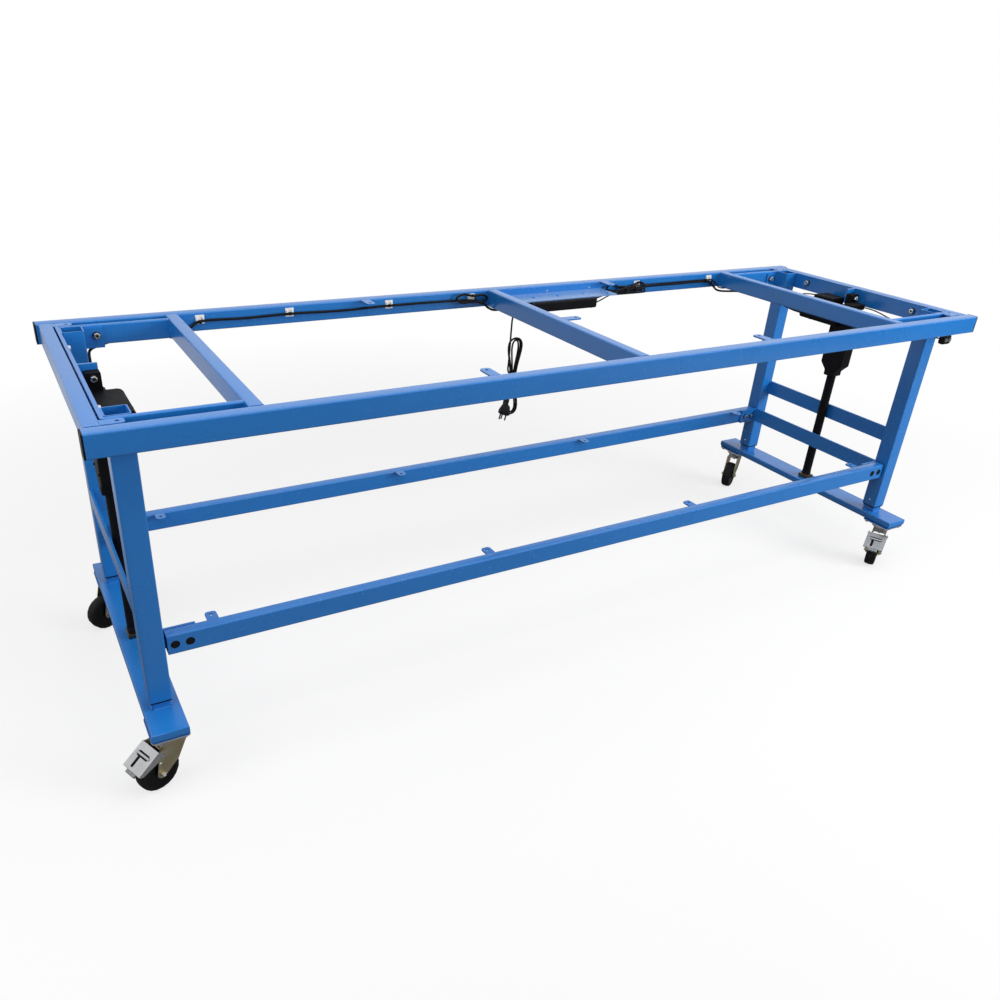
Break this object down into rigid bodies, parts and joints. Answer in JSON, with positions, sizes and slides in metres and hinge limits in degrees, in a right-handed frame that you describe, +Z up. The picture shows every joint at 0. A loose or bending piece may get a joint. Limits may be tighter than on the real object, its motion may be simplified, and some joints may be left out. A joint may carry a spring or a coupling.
{
  "type": "assembly table",
  "caption": "Long blue steel table frame with powered telescopic legs, open top rails for a worktop, lower beams, handset and swivel casters with front brakes.",
  "frame": {"origin": "on the floor under the middle of the top frame", "axes": "+X along the table's length to the right, +Y to the back, +Z up"},
  "size_m": [2.6146, 0.8287, 0.872],
  "materials": {
    "blue_paint": "semi-gloss powder coat",
    "zinc": "bright zinc plate",
    "steel": "ground steel",
    "black_plastic": "fine moulded texture",
    "black_rubber": "matt",
    "black_cable": "satin sheath",
    "grey_plastic": "satin"
  },
  "bodies": {
    "top_frame": {"front_rail": "blue_paint", "back_rail": "blue_paint", "left_end_rail": "blue_paint", "right_end_rail": "blue_paint", "left_cross_rail": "blue_paint", "middle_cross_rail": "blue_paint", "right_cross_rail": "blue_paint", "left_head_bar": "blue_paint", "right_head_bar": "blue_paint", "front_left_side_bar": "blue_paint", "front_right_side_bar": "blue_paint", "back_left_side_bar": "blue_paint", "back_right_side_bar": "blue_paint", "front_left_outer_leg": "blue_paint", "front_right_outer_leg": "blue_paint", "back_left_outer_leg": "blue_paint", "back_right_outer_leg": "blue_paint", "left_upper_end_bar": "blue_paint", "left_lower_end_bar": "blue_paint", "right_upper_end_bar": "blue_paint", "right_lower_end_bar": "blue_paint", "front_lower_beam": "blue_paint", "back_lower_beam": "blue_paint", "control_plate": "blue_paint", "front_left_end_cap": "black_plastic", "front_right_end_cap": "black_plastic", "back_left_end_cap": "black_plastic", "back_right_end_cap": "black_plastic", "left_actuator_housing": "black_plastic", "right_actuator_housing": "black_plastic", "left_actuator_tube": "black_plastic", "right_actuator_tube": "black_plastic", "control_box": "black_plastic", "handset": "black_plastic", "mains_plug": "black_plastic", "left_motor_lead": "black_cable", "right_motor_lead": "black_cable", "handset_lead": "black_cable", "mains_cord": "black_cable", "mains_hank": "black_cable"},
    "left_base": {"left_foot": "blue_paint", "front_left_inner_leg": "blue_paint", "back_left_inner_leg": "blue_paint", "left_actuator_rod": "steel"},
    "right_base": {"right_foot": "blue_paint", "front_right_inner_leg": "blue_paint", "back_right_inner_leg": "blue_paint", "right_actuator_rod": "steel"},
    "up_button": {"up_button": "grey_plastic"},
    "down_button": {"down_button": "grey_plastic"},
    "front_left_fork": {"front_left_fork": "zinc"},
    "front_left_wheel": {"front_left_wheel": "black_rubber"},
    "front_left_pedal": {"front_left_pedal": "zinc"},
    "front_right_fork": {"front_right_fork": "zinc"},
    "front_right_wheel": {"front_right_wheel": "black_rubber"},
    "front_right_pedal": {"front_right_pedal": "zinc"},
    "back_left_fork": {"back_left_fork": "zinc"},
    "back_left_wheel": {"back_left_wheel": "black_rubber"},
    "back_right_fork": {"back_right_fork": "zinc"},
    "back_right_wheel": {"back_right_wheel": "black_rubber"}
  },
  "joints": [
    {"name": "left_lift", "type": "slide", "parent": "top_frame", "child": "left_base", "axis": [0, 0, -1], "range_m": [0, 0.4]},
    {"name": "right_lift", "type": "slide", "parent": "top_frame", "child": "right_base", "axis": [0, 0, -1], "range_m": [0, 0.4]},
    {"name": "front_left_swivel", "type": "hinge", "parent": "left_base", "child": "front_left_fork", "pos_m": [-1.2177, -0.352, 0.14], "axis": [0, 0, 1], "continuous": true},
    {"name": "front_left_roll", "type": "hinge", "parent": "front_left_fork", "child": "front_left_wheel", "pos_m": [-1.25293, -0.36623, 0.05], "axis": [0.3746, -0.9272, 0], "continuous": true},
    {"name": "front_left_brake", "type": "hinge", "parent": "front_left_fork", "child": "front_left_pedal", "pos_m": [-1.24644, -0.36361, 0.11], "axis": [-0.3746, 0.9272, 0], "range_deg": [0, 11]},
    {"name": "front_right_swivel", "type": "hinge", "parent": "right_base", "child": "front_right_fork", "pos_m": [1.2177, -0.352, 0.14], "axis": [0, 0, 1], "continuous": true},
    {"name": "front_right_roll", "type": "hinge", "parent": "front_right_fork", "child": "front_right_wheel", "pos_m": [1.18415, -0.36984, 0.05], "axis": [0.4695, -0.8829, 0], "continuous": true},
    {"name": "front_right_brake", "type": "hinge", "parent": "front_right_fork", "child": "front_right_pedal", "pos_m": [1.19033, -0.36655, 0.11], "axis": [-0.4695, 0.8829, 0], "range_deg": [0, 11]},
    {"name": "back_left_swivel", "type": "hinge", "parent": "left_base", "child": "back_left_fork", "pos_m": [-1.2177, 0.352, 0.14], "axis": [0, 0, 1], "continuous": true},
    {"name": "back_left_roll", "type": "hinge", "parent": "back_left_fork", "child": "back_left_wheel", "pos_m": [-1.25214, 0.33594, 0.05], "axis": [0.4226, -0.9063, 0], "continuous": true},
    {"name": "back_right_swivel", "type": "hinge", "parent": "right_base", "child": "back_right_fork", "pos_m": [1.2177, 0.352, 0.14], "axis": [0, 0, 1], "continuous": true},
    {"name": "back_right_roll", "type": "hinge", "parent": "back_right_fork", "child": "back_right_wheel", "pos_m": [1.18446, 0.33358, 0.05], "axis": [0.4848, -0.8746, 0], "continuous": true},
    {"name": "up_press", "type": "slide", "parent": "top_frame", "child": "up_button", "axis": [0, 1, 0], "range_m": [0, 0.0015], "stiffness_N_per_m": 300},
    {"name": "down_press", "type": "slide", "parent": "top_frame", "child": "down_button", "axis": [0, 1, 0], "range_m": [0, 0.0015], "stiffness_N_per_m": 300}
  ],
  "couplings": [
    {"joint": "right_lift", "follows": "left_lift", "ratio": 1}
  ]
}
